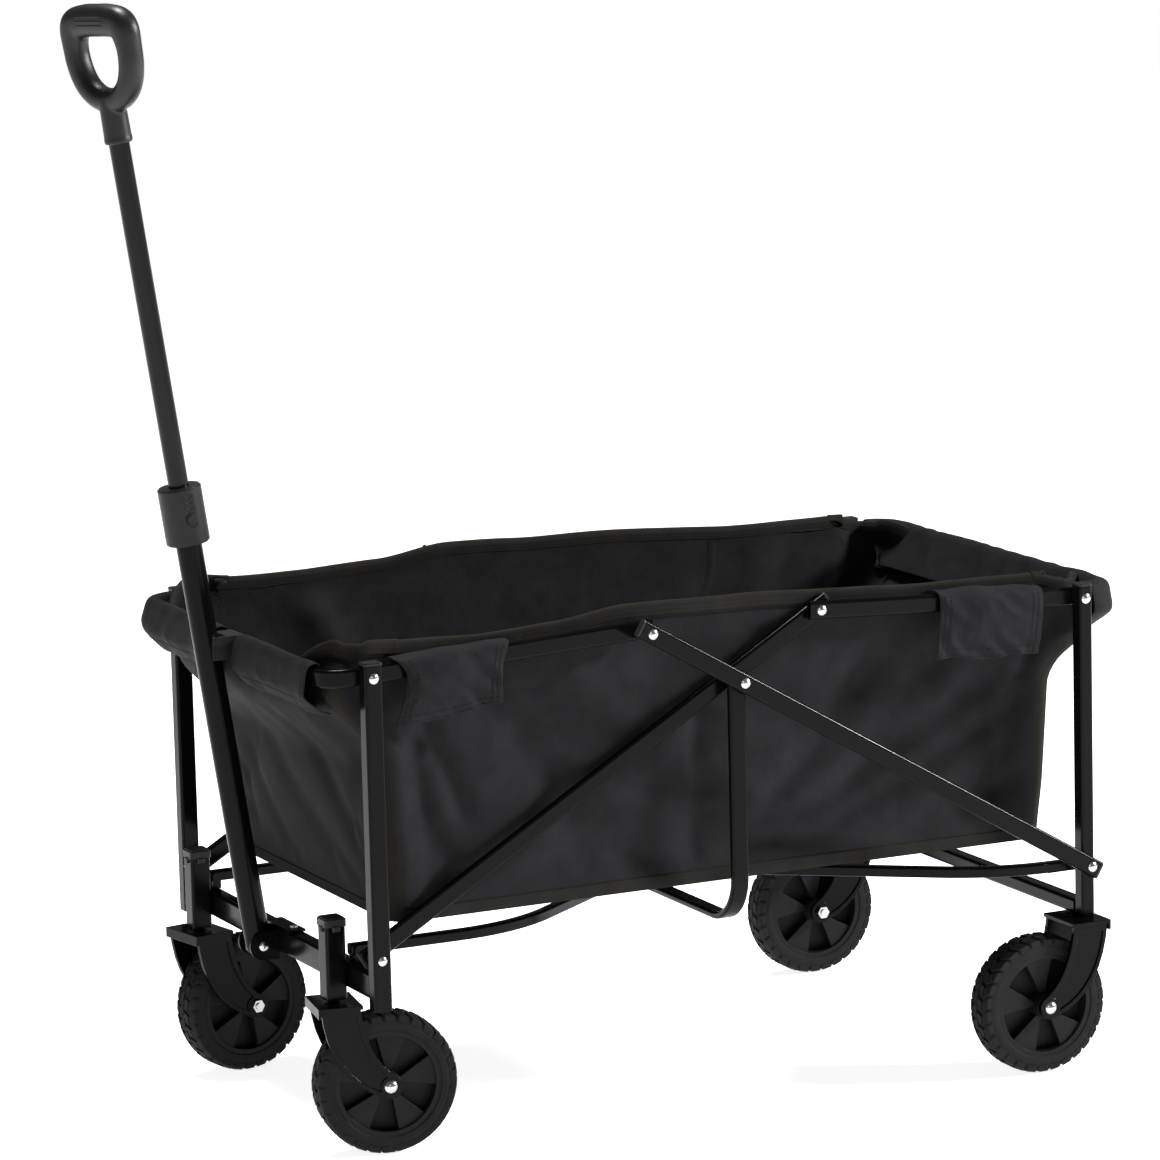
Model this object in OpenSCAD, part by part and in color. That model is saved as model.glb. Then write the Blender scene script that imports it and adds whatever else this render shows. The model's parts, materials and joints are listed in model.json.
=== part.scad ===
// Folding utility wagon: two post frames joined by side scissors, a fabric tub, four wheels and a telescopic handle.
// The front, with the handle, points to -X. Left is -Y. The wheels stand on z = 0, and x = 0 is under the middle
// of the overall length; the sizes below count x from midway between the posts.

/* [Frame] */
// Distance between the front posts and the rear posts
post_spacing = 850; // [800:10:880]
// Distance between the left and the right posts, centre to centre
frame_w = 535; // [500:5:560]
// Height of the lower scissor pivots
pivot_h = 226; // [222:1:230]
// Height of the rail pivots at the tops of the posts
rail_h = 525; // [515:1:530]
// Height of the centre pivot of the scissors
centre_h = 477; // [470:1:482]
// Distance from the middle of the wagon to the knees where rails and bars meet
knee_x = 108; // [104:1:112]
// Distance that each rail bow reaches past its posts
bow_reach = 45; // [42:1:48]

/* [Tubes] */
// Width of the front posts along the wagon
front_post_w = 20; // [18:1:21]
// Width of the rear posts along the wagon
rear_post_w = 16; // [14:1:18]
// Width of the posts across the wagon
post_t = 18; // [16:1:19]
// Height of the rails and bars
bar_w = 20; // [18:1:21]
// Thickness of the rails and bars
bar_t = 9; // [8:0.5:10]
// Wall of every steel tube
wall = 1.4; // [1:0.1:2]

/* [Wheels] */
// Wheel diameter over the tread
wheel_d = 154; // [150:1:156]
// Tyre width
tyre_w = 36; // [32:1:37]
// Diameter of the hub rim, where the tyre starts
rim_d = 116; // [110:1:120]
// Number of wedge spokes
spokes = 5; // [4:1:7]
// Distance from the fork's own axis back to the axle
trail = 52; // [48:1:56]
// Angle that the casters stand turned outwards
caster_turn = 10; // [0:1:15]
// Distance from the left to the right caster axis
caster_gap = 380; // [360:2:390]

/* [Handle] */
// Forward lean of the handle at rest, in degrees
handle_lean = 8.1; // [7.5:0.1:9]
// Height of the handle pivot
handle_pivot_h = 192; // [190:1:196]
// Distance from the pivot to the top of the grip, drawn out
handle_len = 1038; // [1000:2:1060]
// Diameter of the lower handle tube
lower_d = 28; // [26:1:28]
// Diameter of the upper handle tube
upper_d = 22; // [20:1:22]
// Turn of the grip about the handle
grip_turn = 18; // [0:1:25]
// Width of the grip loop
grip_w = 118; // [105:1:125]

/* [Tub] */
// Height of the underside of the fabric floor
floor_h = 250; // [246:1:254]
// Height of the fabric side walls above the ground
hem_h = 560; // [550:1:565]
// Width of the tub over its side walls
tub_w = 472; // [460:1:474]
// Length of the tub floor
tub_len = 790; // [760:5:800]
// Thickness of the fabric walls
cloth_t = 3; // [2:0.5:4]

/* [Hidden] */
$fn = 48;

steel = [0.09, 0.09, 0.1];
plastic = [0.13, 0.13, 0.14];
rubber = [0.16, 0.16, 0.17];
zinc = [0.78, 0.8, 0.82];
cloth = [0.1, 0.1, 0.11];

gap = 0.5;          // between parts that turn against each other
fit_gap = 0.06;     // radial clearance of a turning pin
pin_r = 3;          // rivet and screw shanks
head_r = 5.5;       // rivet heads
head_t = 2.2;
bar_head = 14;      // bars and rails run this far past their upper pivots
bar_foot = 9;       // and this far past their lower ones
post_head = 13.5;   // the posts run this far above the rail pivots

// the scissor, seen from the side
half_len = post_spacing / 2;
bar_angle = atan2(centre_h - pivot_h, half_len);
bar_lower = norm([half_len, centre_h - pivot_h]);
bar_upper = knee_x / cos(bar_angle);
knee_h = centre_h + knee_x * tan(bar_angle);
rail_len = norm([half_len - knee_x, knee_h - rail_h]);
rail_angle = atan2(knee_h - rail_h, half_len - knee_x);

// the layers across the wagon, from the middle of the post outwards and inwards
post_y = frame_w / 2;
outer_y = post_y + post_t / 2 + gap + bar_t / 2;
rail_y = post_y - post_t / 2 - gap - bar_t / 2;
inner_y = rail_y - bar_t - gap;
hoop_t = 8;
hoop_w = 20;
hoop_y = (outer_y + inner_y) / 2;

wheel_r = wheel_d / 2;
rim_r = rim_d / 2;
fork_in = 26;       // half the space between the fork arms
fork_out = 31;
fork_plate_h = 168; // top of the fork plates
fork_plate_t = 4;
rear_fork_x = half_len - 10;
axle_r = 4;

cross_w = 18;       // crossbars, along the wagon
front_cross_z = 196.5;
front_cross_h = 28;
rear_cross_z = 177;
rear_cross_h = 17;
front_post_bottom = 172;

socket_w = 23;
socket_x = -half_len - cross_w / 2 - socket_w / 2;
socket_bottom = 171;
socket_top = 250;
stem_r = 6;
caster_y = caster_gap / 2;

handle_x = -half_len - cross_w / 2 - 18.5;
collar_from = 450;
collar_to = 512;
collar_r = 23.5;
lower_top = 468;
button_s = 479;
button_r = 6;
upper_from = 437;
neck_from = handle_len - 154;
loop_from = handle_len - 122;
grip_depth = 28;

arm_w = 12;         // floor arm tubes, square
arm_r = 200;        // and their bends
arm_z = pivot_h - 2;
front_arm_y = 200;
front_arm_tip_y = 70;
arm_pin_x = -half_len + 3;

bow_r = 34;         // bend radius of the rail bows
hoop_r = 52;
hoop_bottom = 211;

// ---------------------------------------------------------------- helpers

module mirrored() {
    children();
    mirror([0, 1, 0]) children();
}

module round_rect(a, b, r) {
    square([a - 2 * r, b], center = true);
    square([a, b - 2 * r], center = true);
    for (x = [-1, 1], y = [-1, 1])
        translate([x * (a / 2 - r), y * (b / 2 - r)]) circle(r);
}

module tube_section(a, b, r) {
    difference() {
        round_rect(a, b, r);
        round_rect(a - 2 * wall, b - 2 * wall, r - wall);
    }
}

// a tube from the origin along +X, t wide across Y and w high
module tube_x(len, t, w, r) {
    rotate([90, 0, 90]) linear_extrude(len) tube_section(t, w, r);
}

module pin_y(x, z, y_from, y_to, r) {
    translate([x, y_from, z]) rotate([-90, 0, 0]) cylinder(r = r, h = y_to - y_from);
}

// a domed head whose flat side is at y and which stands out towards -Y
module dome_y(x, z, y, r, t) {
    ball = (r * r + t * t) / (2 * t);
    translate([x, y, z]) intersection() {
        translate([0, ball - t, 0]) sphere(ball);
        rotate([90, 0, 0]) cylinder(r = r + 1, h = t + 1);
    }
}

function bezier(a, b, c, n = 8) =
    [for (i = [0:n]) let (t = i / n) (1 - t) * (1 - t) * a + 2 * t * (1 - t) * b + t * t * c];

// ---------------------------------------------------------------- posts and crossbars

module post(x, w, bottom) {
    top = rail_h + post_head;
    color(steel) difference() {
        translate([x, -post_y, bottom]) linear_extrude(top - bottom) tube_section(w, post_t, 3);
        for (z = [pivot_h, rail_h])
            pin_y(x, z, -post_y - post_t, -post_y + post_t, pin_r);
    }
}

// a cap with a plug that stops above the rail rivet
module post_cap(x, w) {
    plug = 8;
    translate([x, -post_y, rail_h + post_head]) {
        linear_extrude(2) round_rect(w + 1, post_t, 3);
        translate([0, 0, 2]) linear_extrude(0.8) round_rect(w - 0.6, post_t - 1.6, 2.5);
        translate([0, 0, -plug])
            linear_extrude(plug) round_rect(w - 2 * wall - 0.2, post_t - 2 * wall - 0.2, 2);
    }
}

module crossbar(x, z, h) {
    len = frame_w - post_t;
    color(steel) translate([x, -len / 2, z])
        rotate([-90, 0, 0]) linear_extrude(len) tube_section(cross_w, h, 4);
}

module rear_crossbar() {
    crossbar(half_len, rear_cross_z, rear_cross_h);
}

module front_crossbar() {
    crossbar(-half_len, front_cross_z, front_cross_h);
}

module rear_post_caps() {
    color(plastic) mirrored() post_cap(half_len, rear_post_w);
}

module front_post_caps() {
    color(plastic) mirrored() post_cap(-half_len, front_post_w);
}

// the lower rear pivots carry the outer bars and the rear floor arms, the upper ones the rear rail
module rear_rivets() {
    tail = -rail_y + bar_t / 2 + 1;
    color(zinc) mirrored() {
        dome_y(half_len, pivot_h, -outer_y - bar_t / 2 - 0.2, head_r, head_t);
        pin_y(half_len, pivot_h, -outer_y - bar_t / 2 - 0.2, tail, pin_r);
        pin_y(half_len, pivot_h, tail - 1, tail + 1, head_r - 1);
        dome_y(half_len, rail_h, -post_y - post_t / 2, head_r, head_t);
        pin_y(half_len, rail_h, -post_y - post_t / 2, tail, pin_r);
        pin_y(half_len, rail_h, -rail_y + bar_t / 2 + 0.2, tail + 0.4, head_r - 1);
    }
}

// the lower front screws carry the inner bars, the upper rivets the front rail
module front_rivets() {
    inner_tail = -inner_y + bar_t / 2 + 0.2;
    rail_tail = -rail_y + bar_t / 2 + 0.2;
    color(zinc) mirrored() {
        dome_y(-half_len, pivot_h, -post_y - post_t / 2, 5, 2);
        pin_y(-half_len, pivot_h, -post_y - post_t / 2, inner_tail + 1, pin_r);
        pin_y(-half_len, pivot_h, inner_tail, inner_tail + 1.5, head_r - 1);
        dome_y(-half_len, rail_h, -post_y - post_t / 2, head_r, head_t);
        pin_y(-half_len, rail_h, -post_y - post_t / 2, rail_tail + 1, pin_r);
        pin_y(-half_len, rail_h, rail_tail, rail_tail + 1.2, head_r - 1);
    }
}

module spacer(x, z, y_from, y_to) {
    difference() {
        pin_y(x, z, y_from, y_to, head_r + 1);
        pin_y(x, z, y_from - 1, y_to + 1, pin_r);
    }
}

module front_post_spacers() {
    color(plastic) mirrored()
        spacer(-half_len, pivot_h, -post_y + post_t / 2, -inner_y - bar_t / 2 - gap);
}

// ---------------------------------------------------------------- scissors

// a flat tube between two end pivots, drawn from the first pivot along +X, with one hole between
module bar(len, mid, end_fit, mid_fit, far_fit) {
    difference() {
        translate([-bar_foot, 0, 0]) tube_x(bar_foot + len + bar_head, bar_t, bar_w, 3.5);
        pin_y(0, 0, -bar_t, bar_t, pin_r + end_fit);
        pin_y(mid, 0, -bar_t, bar_t, pin_r + mid_fit);
        pin_y(len, 0, -bar_t, bar_t, pin_r + far_fit);
    }
}

module end_cap() {
    plug = 4;
    rotate([90, 0, 90]) linear_extrude(2.5) round_rect(bar_t, bar_w, 3.5);
    rotate([90, 0, 90]) translate([0, 0, -plug])
        linear_extrude(plug) round_rect(bar_t - 2 * wall - 0.2, bar_w - 2 * wall - 0.2, 2.3);
}

module bar_caps(len) {
    translate([len + bar_head, 0, 0]) end_cap();
    translate([-bar_foot, 0, 0]) rotate([0, 0, 180]) end_cap();
}

module at_outer_bar() {
    translate([half_len, -outer_y, pivot_h]) rotate([0, 180 + bar_angle, 0]) children();
}

module at_inner_bar() {
    translate([-half_len, -inner_y, pivot_h]) rotate([0, -bar_angle, 0]) children();
}

module outer_bar() {
    color(steel) at_outer_bar() bar(bar_lower + bar_upper, bar_lower, fit_gap, 0, 0);
}

module inner_bar() {
    color(steel) at_inner_bar() bar(bar_lower + bar_upper, bar_lower, fit_gap, fit_gap, 0);
}

module outer_bar_caps() {
    color(plastic) mirrored() at_outer_bar() bar_caps(bar_lower + bar_upper);
}

// the caps of the inner bars, and the rivet tails that stay in them at the rear knees
module inner_bar_caps() {
    color(plastic) mirrored() {
        at_inner_bar() bar_caps(bar_lower + bar_upper);
        pin_y(knee_x, knee_h, -inner_y - bar_t / 2, -inner_y + bar_t / 2, pin_r);
        pin_y(knee_x, knee_h, -inner_y + bar_t / 2, -inner_y + bar_t / 2 + 1.5, head_r - 1);
    }
}

module outer_bar_rivets() {
    face = -outer_y - bar_t / 2;
    tail = -inner_y + bar_t / 2 + 0.2;
    color(zinc) mirrored() {
        dome_y(0, centre_h, face, head_r, head_t);
        pin_y(0, centre_h, face, tail + 1, pin_r);
        pin_y(0, centre_h, tail, tail + 1.5, head_r - 1);
        dome_y(-knee_x, knee_h, face, head_r, head_t);
        pin_y(-knee_x, knee_h, face, -rail_y - bar_t / 2 - gap, pin_r);
    }
}

module scissor_spacers() {
    color(plastic) mirrored() {
        spacer(0, centre_h, -outer_y + bar_t / 2, -hoop_y - hoop_t / 2 - gap);
        spacer(0, centre_h, -hoop_y + hoop_t / 2 + gap, -inner_y - bar_t / 2 - gap);
        spacer(-knee_x, knee_h, -outer_y + bar_t / 2, -rail_y - bar_t / 2 - gap);
    }
}

// ---------------------------------------------------------------- rail bows

// one bow: two arms from the knees past the posts, joined by a crosspiece; drawn level, pointing to +X
module rail_bow() {
    cross = bow_reach;
    start = -rail_len - bar_head;
    straight = 2 * (rail_y - bow_r);
    difference() {
        union() {
            mirrored() {
                translate([start, -rail_y, 0]) tube_x(cross - bow_r - start, bar_t, bar_w, 3.5);
                translate([cross - bow_r, -rail_y + bow_r, 0]) rotate([0, 0, -90])
                    rotate_extrude(angle = 90) translate([bow_r, 0]) tube_section(bar_t, bar_w, 3.5);
            }
            translate([cross, -straight / 2, 0]) rotate([-90, 0, 0])
                linear_extrude(straight) tube_section(bar_t, bar_w, 3.5);
        }
        mirrored() {
            pin_y(0, 0, -rail_y - bar_t, -rail_y + bar_t, pin_r + fit_gap);
            pin_y(-rail_len, 0, -rail_y - bar_t, -rail_y + bar_t, pin_r);
        }
    }
}

module at_rear_rail() {
    translate([half_len, 0, rail_h]) rotate([0, rail_angle, 0]) children();
}

module at_front_rail() {
    mirror([1, 0, 0]) at_rear_rail() children();
}

module rear_rail() {
    color(steel) at_rear_rail() rail_bow();
}

module front_rail() {
    color(steel) at_front_rail() rail_bow();
}

module rear_knee_rivets() {
    face = -rail_y - bar_t / 2;
    color(zinc) mirrored() {
        dome_y(knee_x, knee_h, face, head_r, head_t);
        pin_y(knee_x, knee_h, face, -rail_y + bar_t / 2, pin_r);
    }
}

module front_knee_pins() {
    color(zinc) mirrored() {
        pin_y(-knee_x, knee_h, -rail_y - bar_t / 2, -rail_y + bar_t / 2, pin_r);
        pin_y(-knee_x, knee_h, -rail_y + bar_t / 2, -rail_y + bar_t / 2 + 1.5, head_r - 1);
    }
}

// the plastic clip on the front bow that the handle snaps into
module handle_clip() {
    clip_h = 25;
    jaw = 19;
    seat = lower_d / 2 + 0.7;
    web_r = 58.7;   // keeps the web clear of the handle while the bow swings down
    bow_x = -half_len - bow_reach * cos(rail_angle);
    bow_z = rail_h - bow_reach * sin(rail_angle);
    axis_x = handle_x - (bow_z - handle_pivot_h) * tan(handle_lean);
    color(plastic) difference() {
        translate([axis_x, -jaw, bow_z - clip_h / 2])
            cube([bow_x + bar_t / 2 + 3 - axis_x, 2 * jaw, clip_h]);
        at_handle() translate([0, 0, -1]) cylinder(r = seat, h = rail_h + 50);
        difference() {
            translate([axis_x - 1, -seat, bow_z - clip_h]) cube([bow_x - axis_x, 2 * seat, 2 * clip_h]);
            pin_y(-half_len, rail_h, -jaw, jaw, web_r);
        }
        translate([bow_x, -jaw - 1, bow_z]) rotate([0, -rail_angle, 0]) rotate([-90, 0, 0])
            linear_extrude(2 * jaw + 2) round_rect(bar_t, bar_w, 3.5);
    }
}

// ---------------------------------------------------------------- centre hoop

module centre_hoop() {
    leg_bottom = hoop_bottom + hoop_r;
    span = 2 * (hoop_y - hoop_r);
    color(steel) difference() {
        union() {
            mirrored() {
                translate([0, -hoop_y, leg_bottom])
                    linear_extrude(centre_h + 9 - leg_bottom) tube_section(hoop_w, hoop_t, 3);
                translate([0, -hoop_y + hoop_r, leg_bottom]) rotate([0, 90, 180])
                    rotate_extrude(angle = 90) translate([hoop_r, 0]) tube_section(hoop_t, hoop_w, 3);
            }
            translate([0, -span / 2, hoop_bottom]) rotate([-90, 0, 0])
                linear_extrude(span) tube_section(hoop_w, hoop_t, 3);
        }
        mirrored() pin_y(0, centre_h, -hoop_y - hoop_t, -hoop_y + hoop_t, pin_r + fit_gap);
    }
}

// ---------------------------------------------------------------- forks and wheels, about the fork's own axis

module arm_outline(inset) {
    top = fork_plate_h - inset;
    front = bezier([-21 + inset, top], [-15 + inset, 88 + inset], [trail - 9, wheel_r - 10 + inset]);
    rear = bezier([trail + 8 - inset, wheel_r + 10 - inset], [27 - inset, 108], [21 - inset, top]);
    polygon(concat(front, rear));
    translate([trail, wheel_r]) circle(13 - inset);
}

// two arms pressed with raised edges, under a plate with a folded lip
module fork_shape() {
    press = 2;      // depth of the pressing between the raised edges
    difference() {
        union() {
            for (s = [-1, 1]) translate([0, s * (fork_in + fork_out) / 2, 0]) rotate([90, 0, 0])
                linear_extrude(fork_out - fork_in, center = true) arm_outline(0);
            translate([-24, -fork_out - 1.5, fork_plate_h - fork_plate_t])
                cube([48, 2 * fork_out + 3, fork_plate_t]);
            translate([-24, -fork_out - 1.5, fork_plate_h - 11]) cube([3, 2 * fork_out + 3, 9]);
        }
        for (s = [-1, 1]) translate([0, s * (fork_out + press / 2), 0]) rotate([90, 0, 0])
            linear_extrude(3 * press, center = true) difference() {
                arm_outline(5);
                translate([trail, wheel_r]) circle(11);
                translate([-40, fork_plate_h - 12]) square([80, 20]);
            }
        pin_y(trail, wheel_r, -fork_out - 5, fork_out + 5, axle_r);
    }
}

module axle_bolt() {
    dome_y(trail, wheel_r, -fork_out, 7, 3.5);
    pin_y(trail, wheel_r, -fork_out, fork_out + 7, axle_r);
    translate([trail, fork_out, wheel_r]) rotate([-90, 0, 0]) cylinder(r = 7.5, h = 5, $fn = 6);
}

module tyre() {
    shoulder = 6;
    color(rubber) translate([trail, 0, wheel_r]) rotate([90, 0, 0]) rotate_extrude($fn = 96) {
        difference() {
            translate([rim_r, -tyre_w / 2]) square([wheel_r - rim_r, tyre_w]);
            for (s = [-1, 1]) translate([wheel_r - shoulder, s * (tyre_w / 2 - shoulder)])
                difference() {
                    translate([0, s > 0 ? 0 : -shoulder - 1]) square([shoulder + 1, shoulder + 1]);
                    circle(shoulder);
                }
        }
    }
}

module hub() {
    rim_wall = 5.5;
    boss_r = 14;
    face = 14;
    color(plastic) translate([trail, 0, wheel_r]) rotate([90, 0, 0]) difference() {
        union() {
            rotate_extrude($fn = 96) {
                translate([rim_r - rim_wall, -tyre_w / 2 + 1]) square([rim_wall, tyre_w - 2]);
                translate([axle_r + 1, -2]) square([rim_r - axle_r - 2, 4]);
                translate([axle_r + 1, 0.7 - fork_in]) square([boss_r - axle_r - 1, 2 * fork_in - 1.4]);
            }
            for (i = [0:spokes - 1]) rotate([0, 0, i * 360 / spokes + 12])
                linear_extrude(2 * face, center = true) polygon(concat(
                    [[axle_r + 3, 0]],
                    [for (k = [-1:0.25:1]) (rim_r - rim_wall + 1) * [cos(18 * k), sin(18 * k)]]
                ));
        }
        cylinder(r = axle_r + fit_gap, h = 3 * fork_in, center = true);
    }
}

module at_rear_fork() {
    translate([rear_fork_x, -post_y, 0]) mirror([1, 0, 0]) children();
}

module at_caster() {
    translate([socket_x, -caster_y, 0]) rotate([0, 0, -caster_turn]) children();
}

module rear_fork() {
    color(steel) at_rear_fork() fork_shape();
}

module rear_axle_bolts() {
    color(zinc) mirrored() at_rear_fork() axle_bolt();
}

module caster_fork() {
    color(steel) at_caster() {
        fork_shape();
        translate([0, 0, fork_plate_h - fork_plate_t]) cylinder(r = stem_r, h = socket_top - 8 - fork_plate_h);
    }
}

// ---------------------------------------------------------------- caster sockets

// the notches at its top take the lugs of the cap
module caster_socket() {
    notch = 9.4;
    color(steel) translate([socket_x, -caster_y, 0]) difference() {
        translate([0, 0, socket_bottom]) linear_extrude(socket_top - socket_bottom)
            tube_section(socket_w, socket_w, 3);
        translate([0, 0, socket_top]) cube([notch, 2 * socket_w, 10.4], center = true);
        translate([0, 0, socket_top]) cube([2 * socket_w, notch, 10.4], center = true);
    }
}

module socket_bushes() {
    inner = socket_w - 2 * wall - 0.2;
    color(plastic) mirrored() translate([socket_x, -caster_y, 0]) difference() {
        union() {
            translate([0, 0, socket_bottom]) linear_extrude(socket_top - socket_bottom)
                round_rect(inner, inner, 2);
            translate([0, 0, socket_top]) linear_extrude(8) round_rect(socket_w + 2, socket_w + 2, 3);
            translate([0, 0, socket_top + 8]) linear_extrude(1.5) round_rect(socket_w - 1, socket_w - 1, 2.5);
            translate([0, 0, socket_top - 5]) linear_extrude(5.5) round_rect(socket_w + 5, 9, 2);
            translate([0, 0, socket_top - 5]) linear_extrude(5.5) round_rect(9, socket_w + 5, 2);
        }
        translate([0, 0, socket_bottom - 1]) cylinder(r = stem_r + fit_gap, h = socket_top - socket_bottom);
    }
}

// ---------------------------------------------------------------- handle

module at_handle() {
    translate([handle_x, 0, handle_pivot_h]) rotate([0, -handle_lean, 0]) children();
}

module handle_bracket() {
    ear_in = lower_d / 2 + 0.7;
    ear_r = 16;
    face = -half_len - cross_w / 2;
    cross_top = front_cross_z + front_cross_h / 2;
    color(steel) difference() {
        union() {
            for (s = [-1, 1]) translate([0, s * (ear_in + 1.5), 0]) rotate([90, 0, 0])
                linear_extrude(3, center = true) {
                    translate([handle_x, handle_pivot_h]) circle(ear_r);
                    translate([handle_x, handle_pivot_h - ear_r]) square([face - handle_x, 2 * ear_r]);
                }
            translate([face - 2, -ear_in - 3, handle_pivot_h - ear_r])
                cube([2, 2 * ear_in + 6, cross_top - handle_pivot_h + ear_r]);
            translate([face - 2, -48, cross_top]) cube([cross_w + 2, 66, 2.5]);
        }
        pin_y(handle_x, handle_pivot_h, -40, 40, pin_r);
    }
}

module handle_bolt() {
    out = lower_d / 2 + 3.7;
    cross_top = front_cross_z + front_cross_h / 2;
    color(zinc) {
        dome_y(handle_x, handle_pivot_h, -out, 5.5, 2.4);
        pin_y(handle_x, handle_pivot_h, -out, out, pin_r);
        mirror([0, 1, 0]) dome_y(handle_x, handle_pivot_h, -out, 5.5, 2.4);
        translate([-half_len, -36, cross_top + 2.5]) cylinder(r = 4.5, h = 2.5);
    }
}

// the knuckle at the foot turns on the handle bolt, and the tube above it is open inside
module lower_tube() {
    r = lower_d / 2;
    color(steel) at_handle() difference() {
        union() {
            intersection() {
                cylinder(r = r, h = 4 * r, center = true);
                rotate([90, 0, 0]) cylinder(r = r, h = 2 * r, center = true);
            }
            cylinder(r = r, h = lower_top);
        }
        rotate([90, 0, 0]) cylinder(r = pin_r + fit_gap, h = 3 * r, center = true);
        translate([0, 0, 20]) cylinder(r = r - wall, h = lower_top);
    }
}

module handle_collar() {
    color(plastic) at_handle() difference() {
        translate([0, 0, collar_from]) {
            cylinder(r = collar_r - 1.5, h = collar_to - collar_from);
            translate([0, 0, 1.5]) cylinder(r = collar_r, h = collar_to - collar_from - 3);
        }
        translate([0, 0, collar_from - 1]) cylinder(r = lower_d / 2, h = lower_top - collar_from + 1);
        cylinder(r = upper_d / 2 + fit_gap, h = 2 * collar_to);
        translate([0, -collar_r + 0.9, button_s]) rotate([90, 0, 0]) {
            cylinder(r = 9, h = 10);
            translate([-9, 0, 0]) cube([18, 18, 10]);
            translate([0, 18, 0]) cylinder(r = 9, h = 10);
        }
        translate([0, 0, button_s]) rotate([90, 0, 0]) cylinder(r = button_r + 0.1, h = 2 * collar_r);
    }
}

module lock_button() {
    color(plastic) at_handle() translate([0, -collar_r + 7.2, button_s]) rotate([90, 0, 0]) {
        cylinder(r = button_r, h = 7.6);
        cylinder(r = button_r - 1.5, h = 8.4);
    }
}

module upper_tube() {
    r = upper_d / 2;
    color(steel) at_handle() rotate([0, 0, grip_turn]) difference() {
        union() {
            translate([0, 0, upper_from]) cylinder(r = r, h = loop_from + 4 - upper_from);
            translate([0, 0, upper_from]) cylinder(r = lower_d / 2 - wall - fit_gap, h = 14);
        }
        translate([0, 0, upper_from - 1]) cylinder(r = r - wall, h = loop_from - upper_from);
    }
}

// half of the loop's outline, from the neck to the top, as its distance from the middle at each height
function loop_half(w, h, n = 16) =
    [for (i = [0:n]) let (u = i / n) [w / 2 * pow(sin(90 * min(1, u / 0.62) ), 0.9) * (u < 0.62 ? 1
        : pow(max(0, 1 - pow((u - 0.62) / 0.38, 3.2)), 0.42)), h * u]];

module loop_outline(w, h) {
    right = loop_half(w, h);
    last = len(right) - 1;
    polygon(concat(right, [for (i = [last:-1:0]) [-right[i][0], right[i][1]]]));
}

module handle_grip() {
    neck_r = 15;
    color(plastic) at_handle() rotate([0, 0, grip_turn]) difference() {
        union() {
            translate([0, 0, loop_from]) rotate([90, 0, 90]) translate([0, 0, -grip_depth / 2])
                linear_extrude(grip_depth) loop_outline(grip_w, handle_len - loop_from);
            translate([0, 0, neck_from]) cylinder(r = neck_r, h = loop_from + 16 - neck_from);
        }
        translate([0, 0, loop_from + 26]) rotate([90, 0, 90])
            linear_extrude(2 * grip_depth, center = true) loop_outline(grip_w - 50, 64);
        translate([0, 0, neck_from - 1]) cylinder(r = upper_d / 2, h = loop_from + 5 - neck_from);
    }
}

// ---------------------------------------------------------------- floor arms

module arm_tube(len) {
    rotate([90, 0, 90]) linear_extrude(len) round_rect(arm_w, arm_w, 2.5);
}

// a bend that leaves the origin along +X and turns to the left
module arm_bend(r, turn) {
    translate([0, r, 0]) rotate([0, 0, -90])
        rotate_extrude(angle = turn) translate([r, 0]) round_rect(arm_w, arm_w, 2.5);
}

// a lead, a long bend to the left, and straight on until it has come across by the distance given
module bent_arm(lead, across, turn_sin, turn_cos) {
    turn = atan2(turn_sin, turn_cos);
    tail = (across - arm_r * (1 - turn_cos)) / turn_sin;
    arm_tube(lead);
    translate([lead, 0, 0]) {
        arm_bend(arm_r, turn);
        translate([arm_r * turn_sin, arm_r * (1 - turn_cos), 0]) rotate([0, 0, turn]) arm_tube(tail);
    }
}

// from the rear post forward, and inwards to the middle block
module rear_arm() {
    translate([half_len - 24, -rail_y + 1, arm_z]) mirror([1, 0, 0]) bent_arm(6, rail_y - 25, 0.6, 0.8);
}

module rear_floor_arms() {
    lug_y = -rail_y;
    lug_t = 8;
    color(steel) mirrored() difference() {
        union() {
            rear_arm();
            pin_y(half_len, pivot_h, lug_y - lug_t / 2, lug_y + lug_t / 2, 9);
            translate([half_len - 40, lug_y - lug_t / 2, arm_z - arm_w / 2]) cube([40, lug_t, arm_w]);
        }
        pin_y(half_len, pivot_h, lug_y - lug_t, lug_y + lug_t, pin_r + fit_gap);
    }
}

module floor_hub() {
    color(plastic) difference() {
        translate([8, -44, arm_z - 7]) cube([50, 88, 14]);
        mirrored() rear_arm();
    }
}

// from the crossbar back, and inwards under the floor
module front_floor_arms() {
    color(steel) mirrored() difference() {
        translate([arm_pin_x - 8, -front_arm_y, arm_z]) bent_arm(126, front_arm_y - front_arm_tip_y, 0.6, 0.8);
        pin_y(arm_pin_x, arm_z, -front_arm_y - arm_w, -front_arm_y + arm_w, pin_r + fit_gap);
    }
}

// brackets welded on the front crossbar, with the pins that the front floor arms turn on
module floor_arm_pins() {
    bottom = front_cross_z + front_cross_h / 2;
    out = arm_w / 2 + gap;
    color(steel) mirrored() {
        for (s = [-1, 1]) translate([arm_pin_x, -front_arm_y + s * (out + 1), 0])
            rotate([90, 0, 0]) linear_extrude(2, center = true) {
                translate([0, arm_z]) circle(5);
                translate([-5, bottom]) square([10, arm_z - bottom]);
            }
        pin_y(arm_pin_x, arm_z, -front_arm_y - out, -front_arm_y + out, pin_r);
    }
}

// ---------------------------------------------------------------- fabric tub

// the walls stand round the floor panel, so that its top is free to its edges
module side_wall() {
    color(cloth) translate([-tub_len / 2, -tub_w / 2, floor_h])
        cube([tub_len, cloth_t, hem_h - floor_h]);
}

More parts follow.
